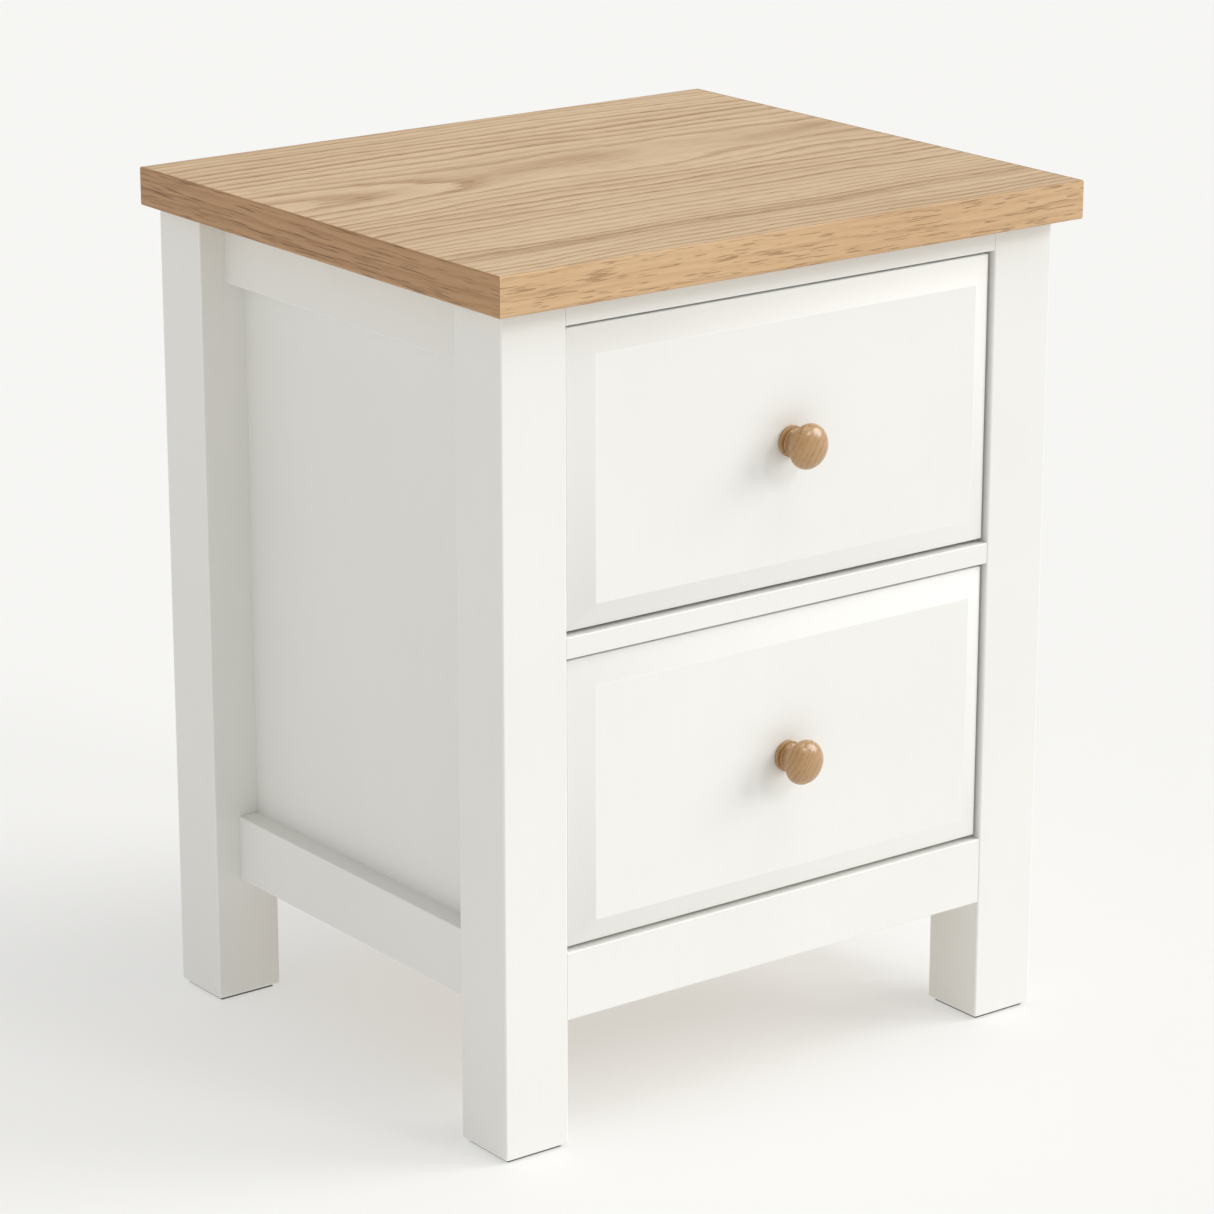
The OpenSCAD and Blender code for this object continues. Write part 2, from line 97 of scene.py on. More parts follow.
# %% [markdown]
# ## Small tools for node trees
# Materials and Geometry Nodes are both trees of nodes joined by links. Building them in a script
# is easier to read with a few helpers: one that adds a node with its values, and one for each
# kind of sum or texture that the finishes use again and again. A value may be a plain number or
# the output of another node, and the helper sets it or links it.

# %% Helpers that add nodes
def add(tree, kind, values=None, **settings):
    """Adds a node; values go to its inputs, by name or number, and outputs are linked."""
    made = tree.nodes.new(kind)
    for name, value in settings.items():
        setattr(made, name, value)
    for name, value in (values or {}).items():
        if isinstance(value, bpy.types.NodeSocket):
            tree.links.new(value, made.inputs[name])
        else:
            made.inputs[name].default_value = value
    return made


def sums(tree, operation, a, b=0.0, clamp=False):
    return add(tree, "ShaderNodeMath", {0: a, 1: b}, operation=operation, use_clamp=clamp).outputs[0]


def between(tree, value, low, high, out_low=0.0, out_high=1.0):
    """Turns low..high into out_low..out_high and holds it there."""
    limits = {"Value": value, "From Min": low, "From Max": high, "To Min": out_low, "To Max": out_high}
    return add(tree, "ShaderNodeMapRange", limits).outputs["Result"]


def tinted(tree, share, a, b, blend_type="MIX"):
    """Mixes two colours."""
    colours = {0: share, 6: a, 7: b}
    return add(tree, "ShaderNodeMix", colours, data_type="RGBA", blend_type=blend_type).outputs[2]


def stretched(tree, vector, scale, shift=(0, 0, 0), turn=(0, 0, 0)):
    values = {"Vector": vector, "Location": shift, "Rotation": turn, "Scale": scale}
    return add(tree, "ShaderNodeMapping", values).outputs[0]


def cloudy(tree, vector, scale=1.0, detail=2.0, roughness=0.5):
    """Noise from 0 to 1, smooth and without direction until its vector is stretched."""
    values = {"Vector": vector, "Scale": scale, "Detail": detail, "Roughness": roughness}
    return add(tree, "ShaderNodeTexNoise", values).outputs[0]


def new_group(name, kind, inputs, outputs):
    """A node group with named sockets; gives the tree, its input node and its output node."""
    tree = bpy.data.node_groups.new(name, kind)
    for direction, sockets in (("INPUT", inputs), ("OUTPUT", outputs)):
        for label, socket, default in sockets:
            made = tree.interface.new_socket(name=label, in_out=direction, socket_type="NodeSocket" + socket)
            if default is not None:
                made.default_value = default
    return tree, tree.nodes.new("NodeGroupInput"), tree.nodes.new("NodeGroupOutput")


print("helpers ready")

# %% [markdown]
# ## Oak, as a node group
# Sawn wood shows slices through a tree. Each year adds a ring with a porous, darker start and a
# denser, paler end. A board is cut nearly along the log, so the rings come out as long lines that
# bend into arches where the saw just grazes them. An image would fix one board for ever; this
# group rebuilds the log instead. It measures how far each point lies from the middle of the log,
# lets that distance wander, cuts it into rings, and lays pores and fibres along the grain. Past a
# chosen radius lies the paler sapwood, and a band of close fine pores may run along the board. The
# top, its lippings and the knobs each place their own log.

# %% The oak group
OAK_INPUTS = [
    ("Vector", "Vector", None),
    ("Pale", "Color", (0.6, 0.45, 0.3, 1)),
    ("Dark", "Color", (0.4, 0.25, 0.13, 1)),
    ("Pore Colour", "Color", (0.25, 0.14, 0.07, 1)),
    ("Ring Width", "Float", 0.006),
    ("Log Side", "Float", 0.0),
    ("Log Depth", "Float", 0.1),
    ("Tilt", "Float", 0.0),
    ("Wander", "Float", 0.02),
    ("Ring Strength", "Float", 1.0),
    ("Pores", "Float", 1.0),
    ("Pore Width", "Float", 0.0011),
    ("Pore Length", "Float", 0.014),
    ("Pore Spread", "Float", 0.0),
    ("Pore Start", "Float", 0.56),
    ("Band Place", "Float", 9.0),
    ("Sapwood", "Float", 9.0),
]
OAK_OUTPUTS = [("Color", "Color", None), ("Roughness", "Float", None), ("Height", "Float", None)]
oak, oak_in, oak_out = new_group("Oak grain", "ShaderNodeTree", OAK_INPUTS, OAK_OUTPUTS)

KNOT_SHARE = 0.15
SHAKE = 0.004
BAND_WANDER = 0.03
BAND_CORE, BAND_REACH = 0.004, 0.012
SAP_EDGE = 0.005
SAP_PALER = 0.22
PORE_EDGE = 0.1

point = oak_in.outputs["Vector"]
wander = oak_in.outputs["Wander"]
slow_bend = cloudy(oak, stretched(oak, point, (2.2, 7.0, 7.0)), detail=2.0)
knotty = cloudy(oak, stretched(oak, point, (9.0, 16.0, 16.0), shift=(3.1, 1.7, 0)), detail=1.0)
ripple = cloudy(oak, stretched(oak, point, (26.0, 150.0, 150.0)), detail=2.0)
place = add(oak, "ShaderNodeSeparateXYZ", {0: point})
side = sums(oak, "ADD", place.outputs["Y"], oak_in.outputs["Log Side"])
depth = sums(oak, "ADD", place.outputs["Z"], oak_in.outputs["Log Depth"])
depth = sums(oak, "ADD", depth, sums(oak, "MULTIPLY", place.outputs["X"], oak_in.outputs["Tilt"]))
side_squared = sums(oak, "MULTIPLY", side, side)
depth_squared = sums(oak, "MULTIPLY", depth, depth)
from_pith = sums(oak, "SQRT", sums(oak, "ADD", side_squared, depth_squared))
bend = sums(oak, "MULTIPLY", sums(oak, "SUBTRACT", slow_bend, 0.5), wander)
knot_wander = sums(oak, "MULTIPLY", wander, KNOT_SHARE)
knot_bend = sums(oak, "MULTIPLY", sums(oak, "SUBTRACT", knotty, 0.5), knot_wander)
shake = sums(oak, "MULTIPLY", sums(oak, "SUBTRACT", ripple, 0.5), SHAKE)
from_pith = sums(oak, "ADD", sums(oak, "ADD", from_pith, shake), sums(oak, "ADD", bend, knot_bend))
years = sums(oak, "DIVIDE", from_pith, oak_in.outputs["Ring Width"])
within_year = sums(oak, "FRACT", years)
this_year = sums(oak, "FLOOR", years)
year_strength = add(oak, "ShaderNodeTexWhiteNoise", {"W": this_year}, noise_dimensions="1D").outputs[0]

RING_SHADE = ((0.0, 0.9), (0.1, 1.0), (0.32, 0.45), (0.6, 0.12), (0.9, 0.05), (1.0, 0.9))
ring = add(oak, "ShaderNodeValToRGB", {0: within_year})
ring.color_ramp.elements.remove(ring.color_ramp.elements[1])
for at, shade in RING_SHADE:
    stop = ring.color_ramp.elements.new(at) if at else ring.color_ramp.elements[0]
    stop.color = (shade, shade, shade, 1)
early = sums(oak, "MULTIPLY", ring.outputs[0], between(oak, year_strength, 0, 1, 0.35, 1.0))

across = sums(oak, "DIVIDE", 1.0, oak_in.outputs["Pore Width"])
along = sums(oak, "DIVIDE", 1.0, oak_in.outputs["Pore Length"])
pore_scale = add(oak, "ShaderNodeCombineXYZ", {0: along, 1: across, 2: across}).outputs[0]
pore_place = add(oak, "ShaderNodeVectorMath", {0: point, 1: pore_scale}, operation="MULTIPLY").outputs[0]
pore_noise = cloudy(oak, pore_place, detail=1.0)
band_bend = sums(oak, "MULTIPLY", sums(oak, "SUBTRACT", slow_bend, 0.5), BAND_WANDER)
band_middle = sums(oak, "ADD", oak_in.outputs["Band Place"], band_bend)
from_band = sums(oak, "ABSOLUTE", sums(oak, "SUBTRACT", place.outputs["Y"], band_middle))
band = between(oak, from_band, BAND_CORE, BAND_REACH, 1.0, 0.0)
all_over = sums(oak, "MAXIMUM", oak_in.outputs["Pore Spread"], band)
porous = sums(oak, "MAXIMUM", between(oak, early, 0.1, 0.7, 0.25, 1.0), all_over)
pore_start = oak_in.outputs["Pore Start"]
open_pores = between(oak, pore_noise, pore_start, sums(oak, "ADD", pore_start, PORE_EDGE))
pores = sums(oak, "MULTIPLY", open_pores, porous)
pores = sums(oak, "MULTIPLY", pores, oak_in.outputs["Pores"], clamp=True)
fibres = cloudy(oak, stretched(oak, point, (14.0, 520.0, 520.0)), detail=3.0, roughness=0.6)
patches = cloudy(oak, stretched(oak, point, (3.0, 14.0, 14.0), shift=(0.4, 0.9, 0.2)), detail=3.0)

shade = sums(oak, "MULTIPLY", early, oak_in.outputs["Ring Strength"])
shade = sums(oak, "ADD", shade, between(oak, fibres, 0.25, 0.75, -0.24, 0.24))
shade = sums(oak, "ADD", shade, sums(oak, "MULTIPLY", band, between(oak, fibres, 0.3, 0.7, 0.15, 0.6)))
sapwood = between(oak, sums(oak, "SUBTRACT", from_pith, oak_in.outputs["Sapwood"]), 0.0, SAP_EDGE)
shade = sums(oak, "SUBTRACT", shade, sums(oak, "MULTIPLY", sapwood, SAP_PALER))
shade = sums(oak, "ADD", shade, between(oak, patches, 0.3, 0.7, -0.14, 0.22), clamp=True)
wood = tinted(oak, shade, oak_in.outputs["Pale"], oak_in.outputs["Dark"])
wood = tinted(oak, pores, wood, oak_in.outputs["Pore Colour"])
oak.links.new(wood, oak_out.inputs["Color"])
rough = sums(oak, "ADD", between(oak, early, 0, 1, 0.46, 0.56), sums(oak, "MULTIPLY", pores, 0.15))
oak.links.new(rough, oak_out.inputs["Roughness"])
relief = sums(oak, "SUBTRACT", sums(oak, "MULTIPLY", fibres, 0.25), sums(oak, "MULTIPLY", early, 0.2))
oak.links.new(sums(oak, "SUBTRACT", relief, pores), oak_out.inputs["Height"])
print("oak group:", len(oak.nodes), "nodes")

# %% [markdown]
# ## Paint, as a node group
# The frame is sprayed with an off-white satin paint. Under a lens it isn't one even colour: it
# is a touch deeper in some patches, the spray leaves a fine orange peel, and the wood below
# shows faintly along its length. On the eased edges the colour is made paler, a painted highlight
# where the rounding would catch the light. Those edges are known exactly, because the pieces below
# mark them in an attribute as they are rounded.

# %% The paint group
PAINT_INPUTS = [
    ("Vector", "Vector", None),
    ("Colour", "Color", (0.83, 0.825, 0.79, 1)),
    # The second colour is paler than the paint: a painted highlight laid on the eased edges, where the rounding
    # catches the light.
    ("Edge Highlight Colour", "Color", (0.87, 0.866, 0.84, 1)),
    ("Edge", "Float", 0.0),
    ("Grain", "Float", 0.5),
]
paint, paint_in, paint_out = new_group("Satin paint", "ShaderNodeTree", PAINT_INPUTS, OAK_OUTPUTS)
where = paint_in.outputs["Vector"]
film = cloudy(paint, where, scale=7.0, detail=3.0)
peel = cloudy(paint, where, scale=850.0, detail=1.0)
under_grain = cloudy(paint, stretched(paint, where, (380.0, 380.0, 9.0)), detail=3.0)
tone = between(paint, film, 0.3, 0.7, 0.985, 1.01)
tone = sums(paint, "MULTIPLY", tone, between(paint, under_grain, 0.3, 0.7, 0.994, 1.004))
tone_colour = add(paint, "ShaderNodeCombineColor", {0: tone, 1: tone, 2: tone}).outputs[0]
# The eased edges take the paler colour here, as a painted highlight.
paint_with_edge_highlight = tinted(paint, paint_in.outputs["Edge"], paint_in.outputs["Colour"], paint_in.outputs["Edge Highlight Colour"])
paint.links.new(tinted(paint, 1.0, paint_with_edge_highlight, tone_colour, "MULTIPLY"), paint_out.inputs["Color"])
paint.links.new(between(paint, film, 0.3, 0.7, 0.36, 0.44), paint_out.inputs["Roughness"])
grain_lumps = sums(paint, "MULTIPLY", under_grain, paint_in.outputs["Grain"])
lumps = sums(paint, "ADD", sums(paint, "MULTIPLY", peel, 0.5), grain_lumps)
paint.links.new(lumps, paint_out.inputs["Height"])
print("paint group:", len(paint.nodes), "nodes")

# %% [markdown]
# ## The finishes
# Each finish is one material. It holds the shader itself, places the pattern on the piece with a
# Mapping node, and takes colour, roughness and height from a group. A number that is the same
# all over, such as the gloss of a lacquer, is set on the shader. The grain of a board lies along
# its length, so boards that run front to back turn the pattern a quarter.

# %% A helper for materials, and the oak finishes
def finish_with(name, group, values, shift=(0, 0, 0), turn=(0, 0, 0), bump=0.2, bump_depth=0.0003, **shader):
    """A material whose group reads object coordinates, moved and turned to suit the piece."""
    made = bpy.data.materials.new(name)
    made.use_nodes = True
    tree = made.node_tree
    surface = next(n for n in tree.nodes if n.type == "BSDF_PRINCIPLED")
    for socket, value in shader.items():
        surface.inputs[socket.replace("_", " ")].default_value = value
    spot = add(tree, "ShaderNodeTexCoord").outputs["Object"]
    pattern = add(tree, "ShaderNodeGroup", node_tree=group)
    tree.links.new(stretched(tree, spot, (1, 1, 1), shift, turn), pattern.inputs["Vector"])
    for socket, value in values.items():
        pattern.inputs[socket].default_value = value
    relief = {"Strength": bump, "Distance": bump_depth, "Height": pattern.outputs["Height"]}
    raised = add(tree, "ShaderNodeBump", relief)
    tree.links.new(pattern.outputs["Color"], surface.inputs["Base Color"])
    tree.links.new(pattern.outputs["Roughness"], surface.inputs["Roughness"])
    tree.links.new(raised.outputs[0], surface.inputs["Normal"])
    return made


QUARTER = math.pi / 2
top_oak = finish_with(
    "oiled_oak_top",
    oak,
    {
        "Pale": (0.74, 0.545, 0.335, 1),
        "Dark": (0.44, 0.265, 0.125, 1),
        "Pore Colour": (0.36, 0.2, 0.09, 1),
        "Ring Width": 0.0078,
        "Log Side": -0.05,
        "Log Depth": -0.49,
        "Tilt": 0.03,
        "Wander": 0.05,
        "Ring Strength": 1.0,
        "Pores": 0.9,
        "Pore Width": 0.001,
        "Pore Length": 0.02,
        "Pore Spread": 0.3,
        "Band Place": -0.142,
        "Sapwood": 0.532,
    },
    bump=0.45,
)
front_edge_oak = finish_with(
    "oiled_oak_front_edge",
    oak,
    {
        "Pale": (0.63, 0.415, 0.222, 1),
        "Dark": (0.44, 0.255, 0.12, 1),
        "Pore Colour": (0.33, 0.18, 0.08, 1),
        "Ring Width": 0.005,
        "Log Depth": -0.85,
        "Wander": 0.03,
        "Ring Strength": 0.6,
        "Pores": 0.85,
        "Pore Width": 0.001,
        "Pore Length": 0.017,
        "Pore Spread": 0.9,
        "Pore Start": 0.58,
    },
    bump=0.5,
)
side_edge_oak = finish_with(
    "oiled_oak_side_edge",
    oak,
    {
        "Pale": (0.485, 0.275, 0.126, 1),
        "Dark": (0.32, 0.158, 0.066, 1),
        "Pore Colour": (0.21, 0.105, 0.045, 1),
        "Ring Width": 0.005,
        "Log Depth": -0.85,
        "Wander": 0.035,
        "Ring Strength": 0.55,
        "Pores": 0.8,
        "Pore Width": 0.0009,
        "Pore Length": 0.026,
        "Pore Spread": 0.9,
        "Pore Start": 0.59,
    },
    turn=(0, 0, QUARTER),
    bump=0.5,
)
print("oak finishes:", [m.name for m in (top_oak, front_edge_oak, side_edge_oak)])

# %% [markdown]
# ## The painted finish
# The paint reads the mark that the eased edges carry, through an Attribute node in the material
# itself, and paints those faces paler as a painted highlight. A face without the mark gives 0, so
# the same material suits the plain panels too.

# %% Paint on the frame
EDGE_MARK = "eased_edge"
painted = finish_with("satin_off_white_paint", paint, {}, bump=0.03, bump_depth=0.00015)
painted_group = next(n for n in painted.node_tree.nodes if n.type == "GROUP")
edge_mark = add(painted.node_tree, "ShaderNodeAttribute", attribute_name=EDGE_MARK)
painted.node_tree.links.new(edge_mark.outputs["Fac"], painted_group.inputs["Edge"])
print("paint:", painted.name)

# %% [markdown]
# ## Drawer wood, plywood, steel and felt
# The drawer boxes are bare pine, with long soft rings and no pores to speak of, so the oak group
# serves with its pores turned off. The bottoms are birch plywood, with a fainter figure. The
# slides and screws are zinc-plated steel: metallic, with a patchy roughness and fine drawn lines.
# The pads under the feet are pressed felt, all short fibres that lie every way.

# %% Pine and plywood
PINE = {
    "Pale": (0.74, 0.56, 0.35, 1),
    "Dark": (0.6, 0.38, 0.19, 1),
    "Ring Width": 0.007,
    "Log Side": -0.02,
    "Log Depth": -0.62,
    "Tilt": 0.04,
    "Wander": 0.03,
    "Ring Strength": 0.55,
    "Pores": 0.0,
}
pine_across = finish_with("pine_along_x", oak, PINE, bump=0.15)
pine_back = finish_with("pine_along_y", oak, PINE, turn=(0, 0, QUARTER), bump=0.15)
birch = finish_with(
    "birch_plywood",
    oak,
    PINE
    | {
        "Pale": (0.76, 0.62, 0.44, 1),
        "Dark": (0.66, 0.5, 0.32, 1),
        "Ring Width": 0.02,
        "Ring Strength": 0.35,
        "Wander": 0.12,
    },
    bump=0.1,
)
print("wood inside:", [m.name for m in (pine_across, pine_back, birch)])

# %% Steel and felt
METAL_INPUTS = [
    ("Vector", "Vector", None),
    ("Colour", "Color", (0.7, 0.7, 0.71, 1)),
    ("Rough", "Float", 0.32),
]
zinc, zinc_in, zinc_out = new_group("Zinc plate", "ShaderNodeTree", METAL_INPUTS, OAK_OUTPUTS)
drawn = cloudy(zinc, stretched(zinc, zinc_in.outputs[0], (900.0, 25.0, 900.0)), detail=2.0)
bloom = cloudy(zinc, zinc_in.outputs[0], scale=60.0, detail=4.0, roughness=0.7)
shine = between(zinc, bloom, 0.3, 0.7, 0.86, 1.06)
shine_colour = add(zinc, "ShaderNodeCombineColor", {0: shine, 1: shine, 2: shine}).outputs[0]
plate = tinted(zinc, 1.0, zinc_in.outputs["Colour"], shine_colour, "MULTIPLY")
zinc.links.new(plate, zinc_out.inputs["Color"])
plate_rough = sums(zinc, "ADD", zinc_in.outputs["Rough"], between(zinc, bloom, 0.3, 0.7, -0.06, 0.1))
zinc.links.new(plate_rough, zinc_out.inputs["Roughness"])
zinc.links.new(drawn, zinc_out.inputs["Height"])
steel = finish_with("zinc_plated_steel", zinc, {}, bump=0.08, bump_depth=0.0001, Metallic=1.0)
POLISHED = {"Rough": 0.14}
ball_steel = finish_with("polished_ball_steel", zinc, POLISHED, bump=0.02, bump_depth=0.00005, Metallic=1.0)

nap, nap_in, nap_out = new_group("Felt nap", "ShaderNodeTree", METAL_INPUTS, OAK_OUTPUTS)
tufts = cloudy(nap, nap_in.outputs[0], scale=1400.0, detail=3.0, roughness=0.7)
worn = cloudy(nap, nap_in.outputs[0], scale=120.0, detail=2.0)
lit = between(nap, sums(nap, "ADD", tufts, sums(nap, "MULTIPLY", worn, 0.4)), 0.4, 1.0, 0.6, 1.3)
lit_colour = add(nap, "ShaderNodeCombineColor", {0: lit, 1: lit, 2: lit}).outputs[0]
nap.links.new(tinted(nap, 1.0, nap_in.outputs["Colour"], lit_colour, "MULTIPLY"), nap_out.inputs["Color"])
nap.links.new(between(nap, tufts, 0, 1, 0.88, 1.0), nap_out.inputs["Roughness"])
nap.links.new(tufts, nap_out.inputs["Height"])
FELT_GREY = {"Colour": (0.09, 0.085, 0.08, 1)}
felt = finish_with("pressed_felt", nap, FELT_GREY, bump=0.6, bump_depth=0.0004, Sheen_Weight=0.3)
print("steel and felt:", steel.name, ball_steel.name, felt.name)

# %% [markdown]
# ## Eased edges
# No edge on real furniture is perfectly sharp. A leg is rounded by about a millimetre so that
# paint holds on it, and that small curve draws the bright line down each corner. The CAD solids
# have sharp edges, and they may not be changed, so each piece is copied: loose triangles are
# merged, flat faces made whole, and every edge is given its own radius by a rule. The Bevel
# modifier then rounds each edge by that much, weighted normals keep the wide faces flat in the
# light, and the new faces get the edge mark for the paint.

# %% Copy a CAD node and round its edges
MERGE = 2e-6
FLAT = math.radians(0.4)
SHARP = math.radians(12)
NEAR = 2e-5
SHORTEST = 0.004
BEVEL_SEGMENTS = 3
ROUNDED = 1


def merged_copy(node):
    """A bmesh of a CAD node with its triangles joined into whole faces."""
    solid = bmesh.new()
    solid.from_mesh(nodes[node].data)
    bmesh.ops.remove_doubles(solid, verts=solid.verts, dist=MERGE)
    bmesh.ops.dissolve_limit(solid, angle_limit=FLAT, verts=solid.verts, edges=solid.edges)
    return solid


def round_edges(solid, radius_of):
    """Stores each sharp edge's radius as its share of the widest; gives that widest radius."""
    weights = solid.edges.layers.float.new("bevel_weight_edge")
    radii = {}
    for edge in solid.edges:
        folded = len(edge.link_faces) == 2 and edge.calc_face_angle(0) > SHARP
        radius = radius_of(edge.verts[0].co, edge.verts[1].co) if folded and edge.is_convex else 0
        edge.smooth = not folded or radius > 0
        if radius:
            radii[edge] = radius
    widest = max(radii.values(), default=0)
    for edge, radius in radii.items():
        edge[weights] = radius / widest
    return widest


def baked(piece):
    """Turns the piece's modifiers into a plain mesh."""
    bpy.context.view_layer.update()
    graph = bpy.context.evaluated_depsgraph_get()
    shape = bpy.data.meshes.new_from_object(
        piece.evaluated_get(graph), preserve_all_data_layers=True, depsgraph=graph
    )
    piece.modifiers.clear()
    piece.data = shape
    shape.name = piece.name
    return piece


def eased(node, radius_of, material):
    """The visual piece that stands for a CAD node, with rounded edges and its finish."""
    solid = merged_copy(node)
    widest = round_edges(solid, radius_of)
    for face in solid.faces:
        face.smooth = True
    shape = bpy.data.meshes.new(node)
    solid.to_mesh(shape)
    solid.free()
    shape.materials.append(material)
    shape.materials.append(material)
    piece = bpy.data.objects.new(f"{node}_eased", shape)
    scene.collection.objects.link(piece)
    rounding = piece.modifiers.new("rounding", "BEVEL")
    rounding.width = widest
    rounding.segments = BEVEL_SEGMENTS
    rounding.limit_method = "WEIGHT"
    rounding.material = ROUNDED
    piece.modifiers.new("even_shading", "WEIGHTED_NORMAL").keep_sharp = True
    baked(piece)
    # The mark is 1 on the rounded faces; the paint material lays its painted highlight there.
    mark = piece.data.attributes.new(EDGE_MARK, "FLOAT", "FACE")
    mark.data.foreach_set("value", [float(face.material_index) for face in piece.data.polygons])
    for face in piece.data.polygons:
        face.material_index = 0
    piece.data.materials.pop(index=ROUNDED)
    return stands_for(piece, node)


def stands_for(piece, *replaced):
    """Lets a piece ride on the body of the CAD nodes that it replaces, and hides those nodes."""
    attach(piece, body_of[replaced[0]])
    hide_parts(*replaced)
    return piece


def finish_node(name, material):
    """Gives its finish to a CAD node that is shown as it is."""
    nodes[name].data.materials.clear()
    nodes[name].data.materials.append(material)


print("edges under", SHORTEST * 1000, "mm stay sharp")

# %% [markdown]
# ## Which edges are rounded
# A rule is a small function that gets the two ends of an edge and gives its radius. A long member
# has an arris along its four corners, a barely broken edge where its shoulder meets the leg, and
# no rounding in its mortices, which a joiner leaves crisp. The rule knows them by place: an
# arris runs along the member and lies on two of its outer faces.

# %% Rules for long members
X, Y, Z = range(3)


def same(a, b):
    return abs(a - b) < NEAR


def runs_along(a, b, axis):
    return all(same(a[k], b[k]) for k in range(3) if k != axis)


def outer_faces(a, b, low, high):
    """The axes along which an edge lies on the member's outer faces."""
    return {k for k in range(3) if same(a[k], b[k]) and (same(a[k], low[k]) or same(a[k], high[k]))}


def member_rule(node, axis, arris, shoulder=0.0, end_radius=0.0):
    """Edges of a leg or rail that lies along an axis."""
    low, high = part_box(node)

    def radius_of(a, b):
        on = outer_faces(a, b, low, high)
        if runs_along(a, b, axis):
            return arris if len(on) == 2 else 0
        if (a - b).length < SHORTEST or not same(a[axis], b[axis]):
            return 0
        if axis in on:
            return end_radius if len(on) == 2 else 0
        return shoulder if on else 0

    return radius_of


print("rules ready")

# %% Legs and rails
LEG_ARRIS = 0.0012
LEG_END = 0.0016
RAIL_ARRIS = 0.0008
BROKEN = 0.00018
legs, rails = [], []
for name in sorted(n for n in nodes if n.endswith("_leg")):
    legs.append(eased(name, member_rule(name, Z, LEG_ARRIS, 0, LEG_END), painted))
for name in sorted(n for n in nodes if n.endswith("_rail")):
    along_y = name.startswith(("left", "right"))
    rails.append(eased(name, member_rule(name, Y if along_y else X, RAIL_ARRIS, BROKEN), painted))
for name in ("left_panel", "right_panel", "back_panel"):
    finish_node(name, painted)
print(len(legs), "legs,", len(rails), "rails; a leg has", len(legs[0].data.polygons), "faces")

# %% [markdown]
# ## The top
# The top is a board with thin oak lippings on its four edges, mitred at the corners. The lippings
# are a millimetre and a half thick, so once their outer edges are eased there is hardly any of
# them left to see from above, and the grain of the board seems to run right to the edge. Each
# lipping's own grain follows its length.

# %% Lippings and board
TOP_ARRIS = 0.0011
MITRE = 0.00012


def lipping_rule(node, axis):
    """Outer edges are eased, and the mitre's outer corner is only just broken."""
    low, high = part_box(node)
    out = X if axis == Y else Y
    outer = low[out] if low[out] + high[out] < sum(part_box("top_board")[k][out] for k in (0, 1)) else high[out]

    def radius_of(a, b):
        if not (same(a[out], outer) and same(b[out], outer)):
            return 0
        return TOP_ARRIS if runs_along(a, b, axis) else MITRE

    return radius_of


for name in ("front_lipping", "back_lipping"):
    eased(name, lipping_rule(name, X), front_edge_oak)
for name in ("left_lipping", "right_lipping"):
    eased(name, lipping_rule(name, Y), side_edge_oak)
finish_node("top_board", top_oak)

# %% [markdown]
# ## The drawer fronts
# Each front is one board with a wide bevel planed round a flat field. Four kinds of edge meet in
# it: the outer rim, which is eased like the rails; its upright corners, rounded a little more so
# that the front doesn't catch in its opening; the line round the field; and the mitres where two
# bevels meet, which stay crisp.

# %% Bevelled fronts
RIM = 0.0009
RIM_CORNER = 0.0016
FIELD_LINE = 0.00035


def front_rule(node):
    low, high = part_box(node)

    def radius_of(a, b):
        on = outer_faces(a, b, low, high)
        if (a - b).length < SHORTEST:
            return 0
        if runs_along(a, b, Y):
            return RIM_CORNER if on == {X, Z} else 0
        if Y in on:
            return FIELD_LINE if same(a[Y], low[Y]) else BROKEN
        return RIM if on else 0

    return radius_of


for level in ("upper", "lower"):
    front = eased(f"{level}_drawer_front", front_rule(f"{level}_drawer_front"), painted)
    print(front.name, len(front.data.polygons), "faces")

# %% [markdown]
# ## Drawer boxes, battens and pads
# The boards of a drawer box are dovetailed at the corners. A hair's breadth off every long edge
# is enough to draw the joints, and the upper rims, which hands touch, are rounder. The felt pads
# under the legs are cut with round corners.

# %% Boards and pads
BOARD_RIM = 0.0012
PAD_CORNER = 0.003
PAD_RIM = 0.0004


def board_rule(node, axis):
    low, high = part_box(node)

    def radius_of(a, b):
        if (a - b).length < SHORTEST:
            return 0
        on = outer_faces(a, b, low, high)
        top_rim = runs_along(a, b, axis) and Z in on and same(a[Z], high[Z])
        return BOARD_RIM if top_rim else BROKEN

    return radius_of


def pad_rule(a, b):
    return PAD_CORNER if runs_along(a, b, Z) else PAD_RIM


for name in sorted(nodes):
    if name.endswith(("_left_side", "_right_side")):
        eased(name, board_rule(name, Y), pine_back)
    elif name.endswith(("_inner_front", "_drawer_back")):
        eased(name, board_rule(name, X), pine_across)
    elif name.endswith("_batten"):
        eased(name, member_rule(name, Y, BOARD_RIM, 0, BROKEN), pine_back)
    elif name.endswith("_drawer_bottom"):
        finish_node(name, birch)
pads = eased("foot_pads", pad_rule, felt)
print("pads:", len(pads.data.polygons), "faces")

# %% [markdown]
# ## Slides
# A slide is three channels of folded steel, one inside the next. Folded sheet has no sharp
# corner: outside it is rounded by about its own thickness. Only the edges that run with the
# drawer are rounded; the ends are cut square.

# %% Round the folds
FOLD = 0.0006
for name in sorted(n for n in nodes if n.endswith("_slide")):
    eased(name, lambda a, b: FOLD if runs_along(a, b, Y) else 0, steel)
print("slides:", len([n for n in nodes if n.endswith("_slide")]))

# %% [markdown]
# ## Screws
# There are dozens of screws, alike but for their sizes, so a Geometry Nodes tree makes them. It
# gets one point for each screw, with the way that its head faces stored on the point. The tree
# makes one screw (a head with a cross-shaped recess cut by a boolean, a core, a tip and a thread
# swept along a spiral) and puts a copy on each point. The points and the sizes are measured on
# the CAD screws, so a copy lies exactly where its solid does.

